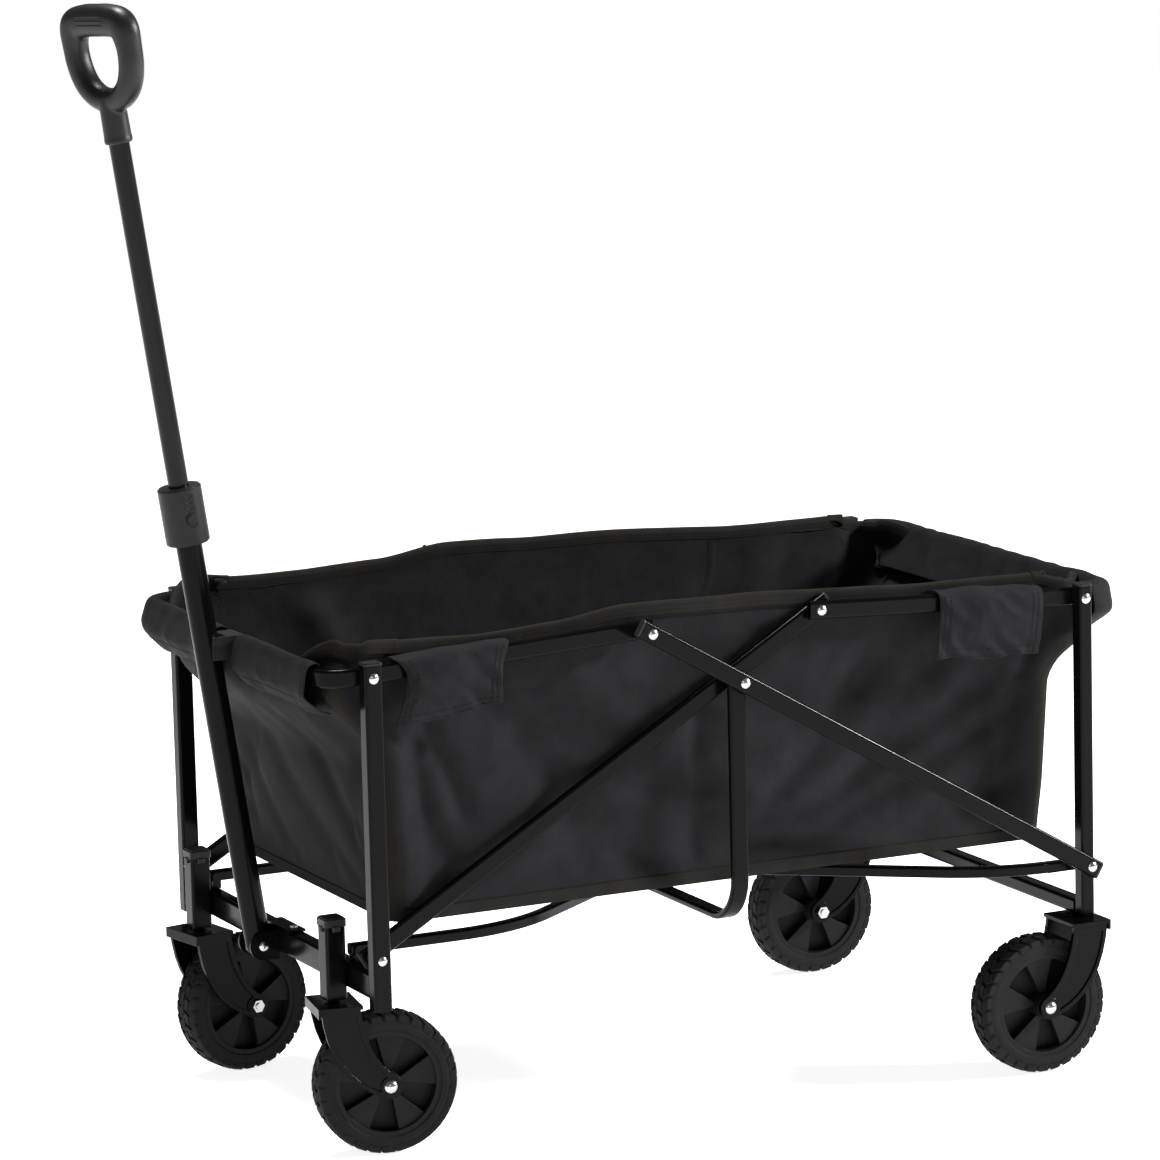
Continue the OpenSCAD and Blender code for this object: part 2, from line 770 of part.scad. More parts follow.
// an end wall, which leans out to the bow at its top
module end_wall() {
    foot = tub_len / 2;
    bend_z = rail_h - 30;
    bow_x = half_len + bow_reach - 16;
    t = cloth_t;
    color(cloth) rotate([90, 0, 0]) linear_extrude(tub_w - 4 * cloth_t, center = true)
        polygon([
            [foot + t, floor_h], [foot + 6, bend_z], [bow_x, rail_h - 13], [bow_x, rail_h - 9],
            [foot + 3, bend_z + t], [foot, floor_h]
        ]);
}

module tub_floor() {
    inside = tub_w - 2 * cloth_t;
    color(cloth) translate([-tub_len / 2, -inside / 2, floor_h]) cube([tub_len, inside, cloth_t]);
}

// ---------------------------------------------------------------- assembly

// the furthest points to the front, on the turned grip, and to the rear, on the rear bow
grip_top = loop_half(grip_w, handle_len - loop_from);
grip_front = min([for (p = grip_top) handle_x - (loop_from + p[1]) * sin(handle_lean)
    - (grip_depth / 2 * cos(grip_turn) + p[0] * sin(grip_turn)) * cos(handle_lean)]);
bow_back = half_len + bow_reach * cos(rail_angle) + (bar_t / 2 - 3.5) * cos(rail_angle)
    + (bar_w / 2 - 3.5) * sin(rail_angle) + 3.5;

// the origin is under the middle of the overall length
module placed() {
    translate([-(grip_front + bow_back) / 2, 0, 0]) children();
}

placed() post(half_len, rear_post_w, fork_plate_h);  // rear_post_left
placed() mirror([0, 1, 0]) post(half_len, rear_post_w, fork_plate_h);  // rear_post_right
placed() rear_crossbar();
placed() rear_post_caps();
placed() rear_rivets();
placed() rear_fork();  // rear_fork_left
placed() mirror([0, 1, 0]) rear_fork();  // rear_fork_right
placed() rear_axle_bolts();
placed() at_rear_fork() tyre();  // rear_tyre_left
placed() at_rear_fork() hub();  // rear_hub_left
placed() mirror([0, 1, 0]) at_rear_fork() tyre();  // rear_tyre_right
placed() mirror([0, 1, 0]) at_rear_fork() hub();  // rear_hub_right
placed() rear_rail();
placed() rear_knee_rivets();
placed() outer_bar();  // outer_bar_left
placed() mirror([0, 1, 0]) outer_bar();  // outer_bar_right
placed() outer_bar_caps();
placed() outer_bar_rivets();
placed() scissor_spacers();
placed() inner_bar();  // inner_bar_left
placed() mirror([0, 1, 0]) inner_bar();  // inner_bar_right
placed() inner_bar_caps();
placed() centre_hoop();
placed() post(-half_len, front_post_w, front_post_bottom);  // front_post_left
placed() mirror([0, 1, 0]) post(-half_len, front_post_w, front_post_bottom);  // front_post_right
placed() front_crossbar();
placed() front_post_caps();
placed() front_rivets();
placed() front_post_spacers();
placed() caster_socket();  // caster_socket_left
placed() mirror([0, 1, 0]) caster_socket();  // caster_socket_right
placed() socket_bushes();
placed() handle_bracket();
placed() handle_bolt();
placed() front_rail();
placed() front_knee_pins();
placed() handle_clip();
placed() caster_fork();  // caster_fork_left
placed() mirror([0, 1, 0]) caster_fork();  // caster_fork_right
placed() color(zinc) at_caster() axle_bolt();  // caster_axle_left
placed() color(zinc) mirror([0, 1, 0]) at_caster() axle_bolt();  // caster_axle_right
placed() at_caster() tyre();  // front_tyre_left
placed() at_caster() hub();  // front_hub_left
placed() mirror([0, 1, 0]) at_caster() tyre();  // front_tyre_right
placed() mirror([0, 1, 0]) at_caster() hub();  // front_hub_right
placed() lower_tube();
placed() handle_collar();
placed() lock_button();
placed() upper_tube();
placed() handle_grip();
placed() rear_floor_arms();
placed() floor_hub();
placed() front_floor_arms();
placed() floor_arm_pins();
placed() tub_floor();
placed() side_wall();  // tub_left_wall
placed() mirror([0, 1, 0]) side_wall();  // tub_right_wall
placed() mirror([1, 0, 0]) end_wall();  // tub_front_wall
placed() end_wall();  // tub_rear_wall
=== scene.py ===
"""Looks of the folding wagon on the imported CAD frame: fabric tub, tyres, grip, stitching and materials."""

import json
import math

import bpy
from mathutils import Matrix, Vector, noise


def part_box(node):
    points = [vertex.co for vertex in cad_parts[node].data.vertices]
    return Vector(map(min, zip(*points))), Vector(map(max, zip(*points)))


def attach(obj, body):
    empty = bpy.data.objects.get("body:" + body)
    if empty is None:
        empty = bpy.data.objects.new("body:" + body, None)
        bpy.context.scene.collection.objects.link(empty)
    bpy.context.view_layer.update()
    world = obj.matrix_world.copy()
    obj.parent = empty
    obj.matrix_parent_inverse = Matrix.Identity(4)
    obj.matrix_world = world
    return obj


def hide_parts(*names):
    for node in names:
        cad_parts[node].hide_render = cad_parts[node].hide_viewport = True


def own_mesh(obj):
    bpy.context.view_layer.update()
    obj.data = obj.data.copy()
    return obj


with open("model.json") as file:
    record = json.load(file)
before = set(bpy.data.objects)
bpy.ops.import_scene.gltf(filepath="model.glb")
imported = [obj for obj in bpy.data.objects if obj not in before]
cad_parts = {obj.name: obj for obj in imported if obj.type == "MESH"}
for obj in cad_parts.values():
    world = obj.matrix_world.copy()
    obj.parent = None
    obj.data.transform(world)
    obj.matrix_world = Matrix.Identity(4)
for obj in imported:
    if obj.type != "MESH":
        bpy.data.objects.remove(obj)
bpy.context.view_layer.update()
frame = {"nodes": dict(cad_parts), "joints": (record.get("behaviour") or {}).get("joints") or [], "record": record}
nodes = frame["nodes"]


def node_box(name):
    low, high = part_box(name)
    return Vector(low), Vector(high)


# ------------------------------------------------------------------ sizes taken from the CAD frame

front_low, front_high = node_box("front_post_left")
rear_low, rear_high = node_box("rear_post_left")
FRONT = (front_low.x + front_high.x) / 2        # x of the front posts
REAR = (rear_low.x + rear_high.x) / 2           # x of the rear posts
MID = (FRONT + REAR) / 2
HALF = (REAR - FRONT) / 2
RAIL_Z = 0.525
BOW = 0.045                                     # the bows' crosspieces stand this far past the posts
WALL_IN, WALL_OUT = 0.231, 0.2365               # the side walls' half width at the foot and at the hem
FLOOR_Z = node_box("tub_floor")[0].z
WHEEL_R = 0.077
TYRE_HALF = 0.018
RAIL_Y = 0.2535                                 # the rails' middle line
BEND = 0.034                                    # the bows' corners
RIM_R = 0.058


def at(x, y, z):
    """A point counted from midway between the posts."""
    return Vector((MID + x, y, z))


def clamp(v, low=0.0, high=1.0):
    return max(low, min(high, v))


def smooth(v, low=0.0, high=1.0):
    t = clamp((v - low) / (high - low))
    return t * t * (3 - 2 * t)


def along(points, x):
    """The height at x of a smooth line through (x, height) points."""
    if x <= points[0][0]:
        return points[0][1]
    for (x0, h0), (x1, h1) in zip(points, points[1:]):
        if x <= x1:
            return h0 + (h1 - h0) * smooth(x, x0, x1)
    return points[-1][1]


# ------------------------------------------------------------------ materials

def new_material(name):
    mat = bpy.data.materials.new(name)
    mat.use_nodes = True
    tree = mat.node_tree
    return mat, tree, tree.nodes["Principled BSDF"]


def add(tree, kind, **values):
    """A node with its properties and its inputs' values set by name."""
    node = tree.nodes.new(kind)
    for key, value in values.items():
        if key in node.inputs:
            node.inputs[key].default_value = value
        else:
            setattr(node, key, value)
    return node


def ramp(tree, fac, low, high, c0, c1):
    node = tree.nodes.new("ShaderNodeMapRange")
    node.inputs["From Min"].default_value = low
    node.inputs["From Max"].default_value = high
    node.inputs["To Min"].default_value = c0
    node.inputs["To Max"].default_value = c1
    tree.links.new(fac, node.inputs["Value"])
    return node.outputs["Result"]


def tint(tree, fac, dark, light):
    node = tree.nodes.new("ShaderNodeMix")
    node.data_type = "RGBA"
    node.inputs["A"].default_value = (*dark, 1)
    node.inputs["B"].default_value = (*light, 1)
    tree.links.new(fac, node.inputs["Factor"])
    return node.outputs["Result"]


def object_noise(tree, scale, detail=3.0):
    coord = add(tree, "ShaderNodeTexCoord")
    tex = add(tree, "ShaderNodeTexNoise", Scale=scale, Detail=detail)
    tree.links.new(coord.outputs["Object"], tex.inputs["Vector"])
    return tex.outputs["Fac"]


def painted_steel(name, base=0.0022, rough=0.20, radius=0.0013, shine=0.08):
    """Black powder coat: orange peel, rounded edges, and soft random patches of slightly lighter, rougher paint.
    """
    mat, tree, shader = new_material(name)
    soft = object_noise(tree, 14, 2)
    peel = object_noise(tree, 900, 2)
    bevel = add(tree, "ShaderNodeBevel", samples=4, Radius=radius)
    bump = add(tree, "ShaderNodeBump", Strength=0.05, Distance=0.0004)
    tree.links.new(peel, bump.inputs["Height"])
    tree.links.new(bevel.outputs["Normal"], bump.inputs["Normal"])
    tree.links.new(bump.outputs["Normal"], shader.inputs["Normal"])
    tree.links.new(ramp(tree, soft, 0.35, 0.7, rough - 0.05, rough + 0.07), shader.inputs["Roughness"])
    dark = (base, base, base * 1.06)
    light = (base * 1.7, base * 1.7, base * 1.8)
    tree.links.new(tint(tree, soft, dark, light), shader.inputs["Base Color"])
    shader.inputs["Specular IOR Level"].default_value = shine
    return mat


def moulded_plastic(name, base=0.010, rough=0.42, radius=0.001, shine=0.22):
    """Matte moulded plastic with a fine spark texture."""
    mat, tree, shader = new_material(name)
    grain = object_noise(tree, 2600, 2)
    soft = object_noise(tree, 22, 3)
    bevel = add(tree, "ShaderNodeBevel", samples=4, Radius=radius)
    bump = add(tree, "ShaderNodeBump", Strength=0.16, Distance=0.0003)
    tree.links.new(grain, bump.inputs["Height"])
    tree.links.new(bevel.outputs["Normal"], bump.inputs["Normal"])
    tree.links.new(bump.outputs["Normal"], shader.inputs["Normal"])
    tree.links.new(ramp(tree, soft, 0.3, 0.7, rough - 0.05, rough + 0.06), shader.inputs["Roughness"])
    dark = (base, base, base * 1.05)
    light = (base * 1.5, base * 1.5, base * 1.6)
    tree.links.new(tint(tree, soft, dark, light), shader.inputs["Base Color"])
    shader.inputs["Specular IOR Level"].default_value = shine
    return mat


def tyre_rubber(name):
    """Dull grey-black tyre foam with dust in its texture."""
    mat, tree, shader = new_material(name)
    grain = object_noise(tree, 1500, 3)
    dust = object_noise(tree, 60, 5)
    bump = add(tree, "ShaderNodeBump", Strength=0.3, Distance=0.0004)
    tree.links.new(grain, bump.inputs["Height"])
    tree.links.new(bump.outputs["Normal"], shader.inputs["Normal"])
    dusty = ramp(tree, dust, 0.35, 0.75, 0, 1)
    colour = tint(tree, dusty, (0.0075, 0.0075, 0.0078), (0.014, 0.014, 0.0145))
    tree.links.new(colour, shader.inputs["Base Color"])
    tree.links.new(ramp(tree, dust, 0.3, 0.7, 0.62, 0.8), shader.inputs["Roughness"])
    shader.inputs["Specular IOR Level"].default_value = 0.12
    return mat


def zinc_plate(name):
    """Bright zinc on rivets and bolts, with a fine brushed swirl."""
    mat, tree, shader = new_material(name)
    swirl = object_noise(tree, 1400, 4)
    shader.inputs["Metallic"].default_value = 1.0
    tree.links.new(tint(tree, swirl, (0.42, 0.43, 0.45), (0.66, 0.67, 0.69)), shader.inputs["Base Color"])
    tree.links.new(ramp(tree, swirl, 0.3, 0.7, 0.16, 0.32), shader.inputs["Roughness"])
    bump = add(tree, "ShaderNodeBump", Strength=0.08, Distance=0.0002)
    tree.links.new(swirl, bump.inputs["Height"])
    tree.links.new(bump.outputs["Normal"], shader.inputs["Normal"])
    return mat


def woven_polyester(name, dark, light, pitch=0.0011, rough=0.62):
    """Coated plain weave: two crossed thread waves on UVs in metres, with soft mottling."""
    mat, tree, shader = new_material(name)
    uv = add(tree, "ShaderNodeUVMap", uv_map="UVMap")
    waves = []
    for direction in ("X", "Y"):
        wave = add(tree, "ShaderNodeTexWave", wave_type="BANDS", bands_direction=direction,
                   Scale=1 / pitch / 3.2, Distortion=0.6, Detail=1.0)
        tree.links.new(uv.outputs["UV"], wave.inputs["Vector"])
        waves.append(wave.outputs["Fac"])
    weave = add(tree, "ShaderNodeMath", operation="MULTIPLY")
    tree.links.new(waves[0], weave.inputs[0])
    tree.links.new(waves[1], weave.inputs[1])
    mottle = object_noise(tree, 35, 5)
    blend = add(tree, "ShaderNodeMath", operation="MULTIPLY_ADD")
    tree.links.new(weave.outputs[0], blend.inputs[0])
    blend.inputs[1].default_value = 0.5
    tree.links.new(ramp(tree, mottle, 0.3, 0.7, 0.1, 0.5), blend.inputs[2])
    tree.links.new(tint(tree, blend.outputs[0], dark, light), shader.inputs["Base Color"])
    tree.links.new(ramp(tree, mottle, 0.3, 0.7, rough - 0.06, rough + 0.08), shader.inputs["Roughness"])
    coarse = add(tree, "ShaderNodeBump", Strength=0.35, Distance=0.0012)
    tree.links.new(object_noise(tree, 110, 4), coarse.inputs["Height"])
    fine = add(tree, "ShaderNodeBump", Strength=0.45, Distance=0.0003)
    tree.links.new(weave.outputs[0], fine.inputs["Height"])
    tree.links.new(coarse.outputs["Normal"], fine.inputs["Normal"])
    tree.links.new(fine.outputs["Normal"], shader.inputs["Normal"])
    shader.inputs["Sheen Weight"].default_value = 0.004
    shader.inputs["Sheen Roughness"].default_value = 0.45
    shader.inputs["Specular IOR Level"].default_value = 0.03
    return mat


STEEL = painted_steel("black_powder_coat", base=0.0016)
TUBE = painted_steel("handle_paint", base=0.0026, rough=0.17, shine=0.22)
PLASTIC = moulded_plastic("black_plastic")
GRIP = moulded_plastic("grip_plastic", base=0.0060, rough=0.38, shine=0.30)
HUB = moulded_plastic("hub_plastic", base=0.0062, rough=0.5, radius=0.0009, shine=0.12)
TYRE = tyre_rubber("tyre_foam")
ZINC = zinc_plate("zinc_plate")
CLOTH = woven_polyester("polyester_weave", (0.0092, 0.0092, 0.0101), (0.0230, 0.0230, 0.0249))
TAPE = woven_polyester("binding_tape", (0.0115, 0.0107, 0.0092), (0.0240, 0.0226, 0.0198),
                       pitch=0.0022, rough=0.75)
THREAD = woven_polyester("sewing_thread", (0.010, 0.010, 0.010), (0.026, 0.026, 0.026),
                         pitch=0.0006, rough=0.7)


def dress(name, mat):
    node = nodes[name]
    for place in node.material_slots:
        place.material = mat
    if not node.material_slots:
        node.data.materials.append(mat)


for entry in frame["record"]["subparts"]:
    by_slot = {"black_powder_coat": STEEL, "handle_tube": TUBE, "black_plastic": PLASTIC, "tyre": TYRE,
               "zinc_fasteners": ZINC, "tub_fabric": CLOTH}
    dress(entry["node"], by_slot[entry["material_slot"]])
for hub in [name for name in nodes if "hub_" in name]:
    dress(hub, HUB)


# ------------------------------------------------------------------ mesh helpers

def make(name, points, faces, mat, uvs=None, flat=False):
    """A mesh piece; uvs holds one (u, v) in metres for each point."""
    mesh = bpy.data.meshes.new(name)
    mesh.from_pydata([tuple(p) for p in points], [], faces)
    mesh.validate()
    if uvs is None:
        uvs = [(p[0] + p[1], p[2]) for p in points]
    layer = mesh.uv_layers.new(name="UVMap")
    for loop in mesh.loops:
        layer.data[loop.index].uv = uvs[loop.vertex_index]
    mesh.polygons.foreach_set("use_smooth", [not flat] * len(mesh.polygons))
    mesh.materials.append(mat)
    obj = bpy.data.objects.new(name, mesh)
    bpy.context.scene.collection.objects.link(obj)
    return obj


def apply_modifiers(obj):
    """Bakes the object's modifiers into its mesh."""
    graph = bpy.context.evaluated_depsgraph_get()
    mesh = bpy.data.meshes.new_from_object(obj.evaluated_get(graph))
    obj.modifiers.clear()
    obj.data = mesh
    return obj


def grid_faces(rows, cols, closed=False):
    """Quads between rows of points; closed joins each row's last point to its first."""
    faces = []
    for r in range(rows - 1):
        for c in range(cols if closed else cols - 1):
            d = (c + 1) % cols
            faces.append((r * cols + c, r * cols + d, (r + 1) * cols + d, (r + 1) * cols + c))
    return faces


def thicken(obj, depth, levels=1, offset=0.0):
    solid = obj.modifiers.new("thickness", "SOLIDIFY")
    solid.thickness = depth
    solid.offset = offset
    if levels:
        sub = obj.modifiers.new("smooth", "SUBSURF")
        sub.levels = sub.render_levels = levels
    return apply_modifiers(obj)


# ------------------------------------------------------------------ the fabric tub

# (x, height) along the tub's hem
HEM = [(-0.43, 0.556), (-0.30, 0.552), (-0.20, 0.557), (-0.11, 0.567), (0.0, 0.564), (0.11, 0.562),
       (0.25, 0.553), (0.35, 0.5515), (0.410, 0.5535), (0.445, 0.542)]
CORNER_R = 0.020
FOOT_HALF = 0.392                       # half length of the tub at its floor
ROWS = 46


def perimeter():
    """Places round the tub as (side, share along it, outward normal), from the front end of the left side."""
    ring = []
    for side, count in (("left", 130), ("rear", 76), ("right", 130), ("front", 76)):
        normal = {"left": (0, -1), "rear": (1, 0), "right": (0, 1), "front": (-1, 0)}[side]
        for i in range(count):
            ring.append((side, i / (count - 1), normal))
        turn = {"left": -90, "rear": 0, "right": 90, "front": 180}[side]
        for k in range(1, 6):
            a = math.radians(turn + k * 15)
            ring.append(("corner", 1.0 if side in ("left", "rear") else 0.0, (math.cos(a), math.sin(a))))
    return ring


RING = perimeter()


def corner_of(normal):
    return math.copysign(1, normal[0]), math.copysign(1, normal[1])


def ring_xy(entry, half_x, half_y):
    side, t, n = entry
    r = CORNER_R
    if side == "left":
        return (-half_x + r) + 2 * (half_x - r) * t, -half_y
    if side == "rear":
        return half_x, (-half_y + r) + 2 * (half_y - r) * t
    if side == "right":
        return (half_x - r) - 2 * (half_x - r) * t, half_y
    if side == "front":
        return -half_x, (half_y - r) - 2 * (half_y - r) * t
    sx, sy = corner_of(n)
    return sx * (half_x - r) + r * n[0], sy * (half_y - r) + r * n[1]


def wrinkles(x, y, z, seed):
    """Soft creases, in -1 to 1, longer along z than across it."""
    p = Vector((x * 6.0 - z * 4.0, y * 7.0, z * 6.5 + seed))
    broad = noise.noise(p)
    p2 = Vector((x * 12.0 - z * 14.0, y * 17.0 - z * 5.0, z * 9.0 + x * 5.0 + seed * 2.3))
    folds = 1 - 2 * abs(noise.noise(p2))
    return 0.55 * broad + 0.45 * folds


def fold_line(x, z, x0, z0, x1, z1, width):
    """1 on the line from (x0, z0) to (x1, z1), falling to 0 at width from it and fading past its ends."""
    dx, dz = x1 - x0, z1 - z0
    length = math.hypot(dx, dz)
    t = ((x - x0) * dx + (z - z0) * dz) / length ** 2
    off = abs((x - x0) * dz - (z - z0) * dx) / length
    return math.exp(-(off / width) ** 2) * smooth(t, -0.12, 0.12) * smooth(1 - t, -0.12, 0.12)


# long creases of a side wall: from (x, z) to (x, z), half width, depth
SIDE_FOLDS = [
    (0.010, 0.262, 0.345, 0.445, 0.017, 1.0), (0.085, 0.275, 0.370, 0.405, 0.013, 0.8),
    (0.000, 0.262, 0.200, 0.480, 0.019, 0.7), (0.200, 0.265, 0.385, 0.330, 0.014, 0.7),
    (0.300, 0.520, 0.150, 0.330, 0.020, 0.6), (0.392, 0.500, 0.330, 0.300, 0.012, 0.7),
    (-0.036, 0.270, -0.030, 0.450, 0.011, 0.6), (-0.080, 0.262, -0.210, 0.400, 0.020, 0.6),
    (-0.352, 0.470, -0.300, 0.345, 0.013, 0.7), (-0.385, 0.440, -0.315, 0.285, 0.016, 0.7),
    (-0.398, 0.425, -0.350, 0.440, 0.009, 1.0), (-0.290, 0.520, -0.160, 0.300, 0.021, 0.7),
    (-0.375, 0.262, -0.230, 0.330, 0.013, 0.7),
]


# creases of an end wall: from (y, z) to (y, z), half width, depth
END_FOLDS = [
    (-0.205, 0.290, -0.060, 0.455, 0.016, 1.0), (-0.150, 0.265, 0.050, 0.420, 0.019, 0.8),
    (0.205, 0.275, 0.060, 0.440, 0.017, 0.9), (0.215, 0.455, 0.120, 0.300, 0.013, 0.7),
    (-0.215, 0.470, -0.160, 0.330, 0.012, 0.8), (0.010, 0.265, 0.120, 0.390, 0.015, 0.6),
]


def side_depth(x, z, mirrored):
    """How far a side wall hangs inwards from its plane, so that the bars outside stay clear."""
    seed = 3.1 if mirrored else 7.7
    d = 0.0056 * (1 - wrinkles(x, 0.2 * seed, z, seed))
    for x0, z0, x1, z1, width, depth in SIDE_FOLDS:
        d += 0.0095 * depth * fold_line(x, z, x0, z0, x1, z1, width)
        d += 0.0040 * depth * fold_line(x + 0.025, z, x0, z0, x1, z1, width * 2.6)
    slack = math.exp(-((z - 0.40) / 0.10) ** 2)
    d += 0.006 * slack * (0.5 + 0.5 * math.sin(x * 13 + seed))
    return d * smooth(z, FLOOR_Z, FLOOR_Z + 0.05)


def end_profile(v, top_x):
    """How far an end wall leans past its foot at the share v of its height: it billows out under the bow."""
    return (top_x - FOOT_HALF) * (0.30 * v + 0.70 * smooth(v, 0.58, 0.86))


def wall(entry, v):
    """A point of the tub's wall at the share v of its height."""
    side, t, n = entry
    end_share = n[0] ** 2
    half_x = FOOT_HALF + end_profile(v, 0.4655)
    half_y = WALL_IN + (WALL_OUT - WALL_IN) * smooth(v, 0, 0.25)
    x, y = ring_xy(entry, half_x, half_y)
    hem = along(HEM, x)
    if side in ("rear", "front"):
        edge = smooth(abs(y), 0.165, 0.215)
        hem = 0.5265 + (hem - 0.5265) * edge
    elif side == "corner":
        hem -= 0.003
    pull = smooth(abs(y), 0.18, 0.225) * smooth(v, 0.80, 1.0)
    if side in ("rear", "front"):
        x -= math.copysign(0.030 * pull, x)
    elif abs(x) > 0.40:
        past_foot = smooth(abs(x), FOOT_HALF - 0.01, FOOT_HALF + 0.02)
        x -= math.copysign(0.030 * smooth(v, 0.80, 1.0), x) * past_foot
    z = FLOOR_Z + 0.003 + v * (hem - FLOOR_Z - 0.003)
    mirrored = y > 0
    if side in ("left", "right"):
        fade = smooth(min(t, 1 - t), 0.0, 0.04)
        y -= math.copysign(side_depth(x, z, mirrored) * fade, y)
        z -= 0.0025 * smooth(v, 0.8, 1) * (1 + noise.noise(Vector((x * 11, y, 4.0)))) * fade
    elif side in ("rear", "front"):
        bulge = 0.005 * noise.noise(Vector((y * 6 + z * 5, x, z * 6 - y * 3)))
        for y0, z0, y1, z1, width, depth in END_FOLDS:
            bulge -= 0.0050 * depth * fold_line(y, z, y0, z0, y1, z1, width)
        bulge += 0.012 * math.sin(math.pi * clamp(v)) * (1 - (y / 0.24) ** 2)
        fade = smooth(min(t, 1 - t), 0, 0.1) * smooth(v, 0, 0.2) * smooth(1 - v, 0, 0.1)
        x += math.copysign(bulge * fade, x)
    return at(x, y, z)


def ring_lengths(v):
    """The distance along the wall from the start to each point, for the weave."""
    total, out, last = 0.0, [], None
    for entry in RING:
        p = wall(entry, v)
        total += 0 if last is None else (p - last).length
        out.append(total)
        last = p
    return out


def build_tub():
    cols = len(RING)
    lengths = ring_lengths(0.4)
    points, uvs = [], []
    shrink = [0.04, 0.35, 0.65, 0.85, 0.96]
    for k in shrink:
        for entry, u in zip(RING, lengths):
            p = wall(entry, 0)
            sag = 0.0035 * noise.noise(Vector((p.x * 9, p.y * 9, 2))) * (1 - k)
            points.append(Vector((MID + (p.x - MID) * k, p.y * k, FLOOR_Z + 0.0015 - abs(sag) * 0.2)))
            uvs.append((p.x * k, p.y * k))
    for r in range(ROWS):
        v = r / (ROWS - 1)
        for entry, u in zip(RING, lengths):
            p = wall(entry, v)
            points.append(p)
            uvs.append((u, p.z))
    # the hem turns outwards and down
    for out, drop in ((0.0011, -0.0008), (0.0022, 0.0), (0.0026, 0.004), (0.0026, 0.016)):
        for entry, u in zip(RING, lengths):
            p = wall(entry, 1 - max(drop, 0) / 0.3)
            n = Vector((entry[2][0], entry[2][1], 0))
            points.append(p + n * out - Vector((0, 0, min(drop, 0))))
            uvs.append((u, p.z + 0.03))
    faces = grid_faces(len(points) // cols, cols, closed=True)
    faces += [(i, i + 1, cols - 2 - i, cols - 1 - i) for i in range(cols // 2 - 1)]
    tub = make("tub_fabric_shell", points, faces, CLOTH, uvs)
    thicken(tub, 0.0012, 1)
    return tub


def band(name, v0, v1, out, mat, rows=4):
    """A strip of tape round the wall between two shares of its height, standing out from it."""
    points, uvs = [], []
    for r in range(rows):
        length, last = 0.0, None
        for entry in RING:
            v = v0 + (v1 - v0) * r / (rows - 1)
            p = wall(entry, v) + Vector((entry[2][0], entry[2][1], 0)) * out
            length += 0 if last is None else (p - last).length
            last = p
            points.append(p)
            uvs.append((length, p.z))
    strip = make(name, points, grid_faces(rows, len(RING), closed=True), mat, uvs)
    return thicken(strip, 0.0010, 1)


def fold_with_tub(obj):
    """Soft pieces of the tub go with the rear frame's body, each with a mesh of its own."""
    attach(obj, "rear_frame")
    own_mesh(obj)
    return obj


def stitch_run(points, spacing=0.0042, length=0.0027, radius=0.00038):
    """Small flattened stitches along a line of points, as vertices and faces."""
    verts, faces = [], []
    carried = 0.0
    for a, b in zip(points, points[1:]):
        step = b - a
        if step.length < 1e-6:
            continue
        direction = step.normalized()
        side = direction.cross(Vector((0, 0, 1)))
        side = side.normalized() if side.length > 1e-4 else Vector((0, 1, 0))
        up = side.cross(direction)
        s = spacing - carried
        while s <= step.length:
            c = a + direction * s
            ends = [c - direction * length / 2, c, c + direction * length / 2]
            base = len(verts)
            for e, k in zip(ends, (0.55, 1.0, 0.55)):
                for j in range(6):
                    ang = j * math.pi / 3
                    verts.append(e + (side * math.cos(ang) + up * math.sin(ang)) * radius * k)
            for seg in range(2):
                for j in range(6):
                    m = (j + 1) % 6
                    faces.append((base + seg * 6 + j, base + seg * 6 + m, base + seg * 6 + 6 + m,
                                  base + seg * 6 + 6 + j))
            faces.append(tuple(base + j for j in range(6))[::-1])
            faces.append(tuple(base + 12 + j for j in range(6)))
            s += spacing
        carried = step.length - (s - spacing)
    return verts, faces


def stitches(name, lines):
    verts, faces = [], []
    for line in lines:
        v, f = stitch_run(line)
        base = len(verts)
        verts += v
        faces += [tuple(i + base for i in face) for face in f]
    return make(name, verts, faces, THREAD)


tub = build_tub()
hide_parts("tub_floor", "tub_left_wall", "tub_right_wall", "tub_front_wall", "tub_rear_wall")
fold_with_tub(tub)
fold_with_tub(band("foot_binding", 0.0, 0.046, 0.0012, TAPE))


def hem_tape():
    """Tape folded over the raw edge of the hem, on both sides of the cloth."""
    path = [(0.960, 0.0048, 0.0), (0.980, 0.0050, 0.0), (1.0, 0.0048, 0.0005), (1.0, 0.0030, 0.0022),
            (1.0, 0.0008, 0.0024), (1.0, -0.0014, 0.0008), (0.980, -0.0017, 0.0), (0.960, -0.0015, 0.0)]
    points, uvs = [], []
    for row, (v, out, up) in enumerate(path):
        length, last = 0.0, None
        for entry in RING:
            p = wall(entry, v) + Vector((entry[2][0], entry[2][1], 0)) * out + Vector((0, 0, up))
            length += 0 if last is None else (p - last).length
            last = p
            points.append(p)
            uvs.append((length, row * 0.003))
    return make("hem_tape", points, grid_faces(len(path), len(RING), closed=True), TAPE, uvs)


def upright_seam(name, picked, lift, half):
    """A folded seam up the wall: a narrow welt over the ring places picked, lift metres out of the cloth."""
    points, uvs = [], []
    rows = 40
    for r in range(rows):
        v = 0.03 + 0.92 * r / (rows - 1)
        places = [wall(RING[k], v) for k in picked]
        for j, (k, p) in enumerate(zip(picked, places)):
            n = RING[k][2]
            rise = lift * (1 if 0 < j < len(picked) - 1 else 0.1)
            points.append(p + Vector((n[0], n[1], 0)) * rise)
            uvs.append((j * half, p.z))
    return make(name, points, grid_faces(rows, len(picked)), TAPE, uvs)


def ring_place(side, share):
    """The index in RING of the place nearest to a share along one side."""
    best = [(abs(t - share), k) for k, (name, t, n) in enumerate(RING) if name == side]
    return min(best)[1]


